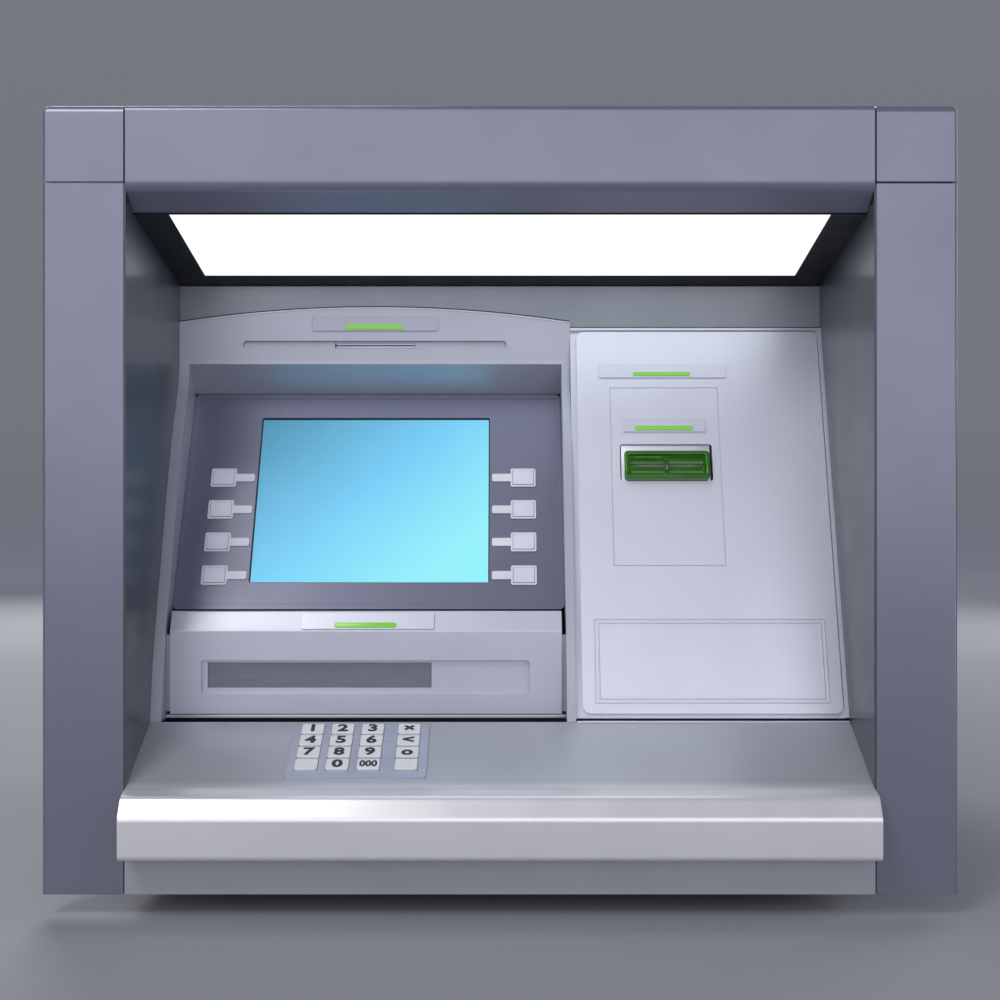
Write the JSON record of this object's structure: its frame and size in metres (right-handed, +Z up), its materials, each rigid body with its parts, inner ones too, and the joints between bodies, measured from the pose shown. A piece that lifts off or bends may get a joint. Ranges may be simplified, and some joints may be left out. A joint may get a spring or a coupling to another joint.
{
  "type": "atm machine",
  "caption": "Through-the-wall cash machine: surround with lit bay, tilted display, keypad shelf, card and cash slots, service cabinet and vault behind.",
  "frame": {"origin": "middle of the footprint, on the plane that the feet stand on", "axes": "+X to the customer's right, +Y into the wall, +Z up"},
  "size_m": [0.8244, 0.79, 0.731],
  "materials": {
    "surround_paint": "satin lavender-grey metallic paint",
    "cheek_paint": "satin dark grey paint",
    "dark_trim": "satin near-black",
    "diffuser": "opal, lit from behind",
    "white_tray": "white",
    "fascia_silver": "satin silver-lavender metallic",
    "card_silver": "satin light silver metallic",
    "keypad_plate": "fine brushed",
    "keypad_key": "satin",
    "display_panel": "satin dark lavender-grey",
    "screen_glass": "glossy, lit cyan",
    "black_case": "black",
    "key_frame_white": "white lavender",
    "function_key": "satin light grey",
    "shutter_steel": "dark brushed",
    "green_bezel": "translucent green, glossy",
    "green_lens": "lit green",
    "indicator_plate": "satin",
    "paper": "plain paper",
    "cabinet_paint": "textured grey powder coat",
    "latch_zinc": "zinc plated",
    "pc_case": "black sheet",
    "vault_paint": "textured dark grey paint",
    "bolt_steel": "bright steel",
    "handle_chrome": "polished",
    "dispenser_case": "dark grey",
    "cassette_plastic": "dark blue-grey",
    "foot_rubber": "black"
  },
  "bodies": {
    "root": {"cabinet_shell": "cabinet_paint", "card_bezel": "green_bezel", "card_panel": "card_silver", "card_reader": "black_case", "card_tray": "fascia_silver", "cash_cassettes": "cassette_plastic", "cash_panel": "fascia_silver", "dispenser": "dispenser_case", "display_bezel": "display_panel", "display_glass": "screen_glass", "fascia_back": "fascia_silver", "header_cover": "surround_paint", "indicator_lenses": "green_lens", "indicator_plates": "indicator_plate", "key_frames": "key_frame_white", "keypad_module": "keypad_plate", "lcd_monitor": "black_case", "levelling_feet": "foot_rubber", "light_diffuser": "diffuser", "light_frame": "dark_trim", "light_tray": "white_tray", "pc_unit": "pc_case", "receipt_printer": "black_case", "screen_surround": "fascia_silver", "shelf": "fascia_silver", "side_cheeks": "cheek_paint", "sill_strip": "surround_paint", "surround_columns": "surround_paint", "vault_body": "vault_paint"},
    "key_blank_left": {"key_blank_left": "keypad_key"},
    "key_blank_right": {"key_blank_right": "keypad_key"},
    "key_cancel": {"key_cancel": "keypad_key"},
    "key_clear": {"key_clear": "keypad_key"},
    "key_eight": {"key_eight": "keypad_key"},
    "key_enter": {"key_enter": "keypad_key"},
    "key_five": {"key_five": "keypad_key"},
    "key_four": {"key_four": "keypad_key"},
    "key_nine": {"key_nine": "keypad_key"},
    "key_one": {"key_one": "keypad_key"},
    "key_seven": {"key_seven": "keypad_key"},
    "key_six": {"key_six": "keypad_key"},
    "key_three": {"key_three": "keypad_key"},
    "key_triple_zero": {"key_triple_zero": "keypad_key"},
    "key_two": {"key_two": "keypad_key"},
    "key_zero": {"key_zero": "keypad_key"},
    "function_key_left_1": {"function_key_left_1": "function_key"},
    "function_key_left_2": {"function_key_left_2": "function_key"},
    "function_key_left_3": {"function_key_left_3": "function_key"},
    "function_key_left_4": {"function_key_left_4": "function_key"},
    "function_key_right_1": {"function_key_right_1": "function_key"},
    "function_key_right_2": {"function_key_right_2": "function_key"},
    "function_key_right_3": {"function_key_right_3": "function_key"},
    "function_key_right_4": {"function_key_right_4": "function_key"},
    "cash_shutter": {"cash_shutter": "shutter_steel"},
    "receipt_roll": {"receipt_roll": "paper"},
    "rear_door": {"rear_door": "cabinet_paint"},
    "rear_door_latch": {"rear_door_latch": "latch_zinc"},
    "vault_door": {"vault_door": "vault_paint"},
    "vault_handle": {"vault_handle": "handle_chrome"},
    "vault_bolts": {"vault_bolts": "bolt_steel"}
  },
  "joints": [
    {"name": "key_blank_left_press", "type": "slide", "parent": "root", "child": "key_blank_left", "axis": [0, 0.4602, -0.8878], "range_m": [0, 0.0025], "stiffness_N_per_m": 300, "springref_m": -0.001},
    {"name": "key_blank_right_press", "type": "slide", "parent": "root", "child": "key_blank_right", "axis": [0, 0.4602, -0.8878], "range_m": [0, 0.0025], "stiffness_N_per_m": 300, "springref_m": -0.001},
    {"name": "key_cancel_press", "type": "slide", "parent": "root", "child": "key_cancel", "axis": [0, 0.4602, -0.8878], "range_m": [0, 0.0025], "stiffness_N_per_m": 300, "springref_m": -0.001},
    {"name": "key_clear_press", "type": "slide", "parent": "root", "child": "key_clear", "axis": [0, 0.4602, -0.8878], "range_m": [0, 0.0025], "stiffness_N_per_m": 300, "springref_m": -0.001},
    {"name": "key_eight_press", "type": "slide", "parent": "root", "child": "key_eight", "axis": [0, 0.4602, -0.8878], "range_m": [0, 0.0025], "stiffness_N_per_m": 300, "springref_m": -0.001},
    {"name": "key_enter_press", "type": "slide", "parent": "root", "child": "key_enter", "axis": [0, 0.4602, -0.8878], "range_m": [0, 0.0025], "stiffness_N_per_m": 300, "springref_m": -0.001},
    {"name": "key_five_press", "type": "slide", "parent": "root", "child": "key_five", "axis": [0, 0.4602, -0.8878], "range_m": [0, 0.0025], "stiffness_N_per_m": 300, "springref_m": -0.001},
    {"name": "key_four_press", "type": "slide", "parent": "root", "child": "key_four", "axis": [0, 0.4602, -0.8878], "range_m": [0, 0.0025], "stiffness_N_per_m": 300, "springref_m": -0.001},
    {"name": "key_nine_press", "type": "slide", "parent": "root", "child": "key_nine", "axis": [0, 0.4602, -0.8878], "range_m": [0, 0.0025], "stiffness_N_per_m": 300, "springref_m": -0.001},
    {"name": "key_one_press", "type": "slide", "parent": "root", "child": "key_one", "axis": [0, 0.4602, -0.8878], "range_m": [0, 0.0025], "stiffness_N_per_m": 300, "springref_m": -0.001},
    {"name": "key_seven_press", "type": "slide", "parent": "root", "child": "key_seven", "axis": [0, 0.4602, -0.8878], "range_m": [0, 0.0025], "stiffness_N_per_m": 300, "springref_m": -0.001},
    {"name": "key_six_press", "type": "slide", "parent": "root", "child": "key_six", "axis": [0, 0.4602, -0.8878], "range_m": [0, 0.0025], "stiffness_N_per_m": 300, "springref_m": -0.001},
    {"name": "key_three_press", "type": "slide", "parent": "root", "child": "key_three", "axis": [0, 0.4602, -0.8878], "range_m": [0, 0.0025], "stiffness_N_per_m": 300, "springref_m": -0.001},
    {"name": "key_triple_zero_press", "type": "slide", "parent": "root", "child": "key_triple_zero", "axis": [0, 0.4602, -0.8878], "range_m": [0, 0.0025], "stiffness_N_per_m": 300, "springref_m": -0.001},
    {"name": "key_two_press", "type": "slide", "parent": "root", "child": "key_two", "axis": [0, 0.4602, -0.8878], "range_m": [0, 0.0025], "stiffness_N_per_m": 300, "springref_m": -0.001},
    {"name": "key_zero_press", "type": "slide", "parent": "root", "child": "key_zero", "axis": [0, 0.4602, -0.8878], "range_m": [0, 0.0025], "stiffness_N_per_m": 300, "springref_m": -0.001},
    {"name": "function_key_left_1_press", "type": "slide", "parent": "root", "child": "function_key_left_1", "axis": [0, 0.8988, -0.4384], "range_m": [0, 0.002], "stiffness_N_per_m": 400, "springref_m": -0.001},
    {"name": "function_key_left_2_press", "type": "slide", "parent": "root", "child": "function_key_left_2", "axis": [0, 0.8988, -0.4384], "range_m": [0, 0.002], "stiffness_N_per_m": 400, "springref_m": -0.001},
    {"name": "function_key_left_3_press", "type": "slide", "parent": "root", "child": "function_key_left_3", "axis": [0, 0.8988, -0.4384], "range_m": [0, 0.002], "stiffness_N_per_m": 400, "springref_m": -0.001},
    {"name": "function_key_left_4_press", "type": "slide", "parent": "root", "child": "function_key_left_4", "axis": [0, 0.8988, -0.4384], "range_m": [0, 0.002], "stiffness_N_per_m": 400, "springref_m": -0.001},
    {"name": "function_key_right_1_press", "type": "slide", "parent": "root", "child": "function_key_right_1", "axis": [0, 0.8988, -0.4384], "range_m": [0, 0.002], "stiffness_N_per_m": 400, "springref_m": -0.001},
    {"name": "function_key_right_2_press", "type": "slide", "parent": "root", "child": "function_key_right_2", "axis": [0, 0.8988, -0.4384], "range_m": [0, 0.002], "stiffness_N_per_m": 400, "springref_m": -0.001},
    {"name": "function_key_right_3_press", "type": "slide", "parent": "root", "child": "function_key_right_3", "axis": [0, 0.8988, -0.4384], "range_m": [0, 0.002], "stiffness_N_per_m": 400, "springref_m": -0.001},
    {"name": "function_key_right_4_press", "type": "slide", "parent": "root", "child": "function_key_right_4", "axis": [0, 0.8988, -0.4384], "range_m": [0, 0.002], "stiffness_N_per_m": 400, "springref_m": -0.001},
    {"name": "cash_shutter_slide", "type": "slide", "parent": "root", "child": "cash_shutter", "axis": [0, 0, 1], "range_m": [0, 0.027]},
    {"name": "receipt_roll_spin", "type": "hinge", "parent": "root", "child": "receipt_roll", "pos_m": [-0.1315, -0.0205, 0.6003], "axis": [1, 0, 0], "continuous": true},
    {"name": "rear_door_swing", "type": "hinge", "parent": "root", "child": "rear_door", "pos_m": [0.368, 0.335, 0.526], "axis": [0, 0, -1], "range_deg": [0, 110]},
    {"name": "rear_door_latch_turn", "type": "hinge", "parent": "rear_door", "child": "rear_door_latch", "pos_m": [-0.322, 0.335, 0.5255], "axis": [0, -1, 0], "range_deg": [0, 90]},
    {"name": "vault_door_swing", "type": "hinge", "parent": "root", "child": "vault_door", "pos_m": [0.374, 0.335, 0.17], "axis": [0, 0, -1], "range_deg": [0, 100]},
    {"name": "vault_handle_turn", "type": "hinge", "parent": "vault_door", "child": "vault_handle", "pos_m": [-0.144, 0.335, 0.17], "axis": [0, -1, 0], "range_deg": [0, 90]},
    {"name": "vault_bolts_throw", "type": "slide", "parent": "vault_door", "child": "vault_bolts", "axis": [-1, 0, 0], "range_m": [0, 0.022]}
  ],
  "couplings": [
    {"joint": "vault_bolts_throw", "follows": "vault_handle_turn", "m_per_rad": 0.013942}
  ]
}
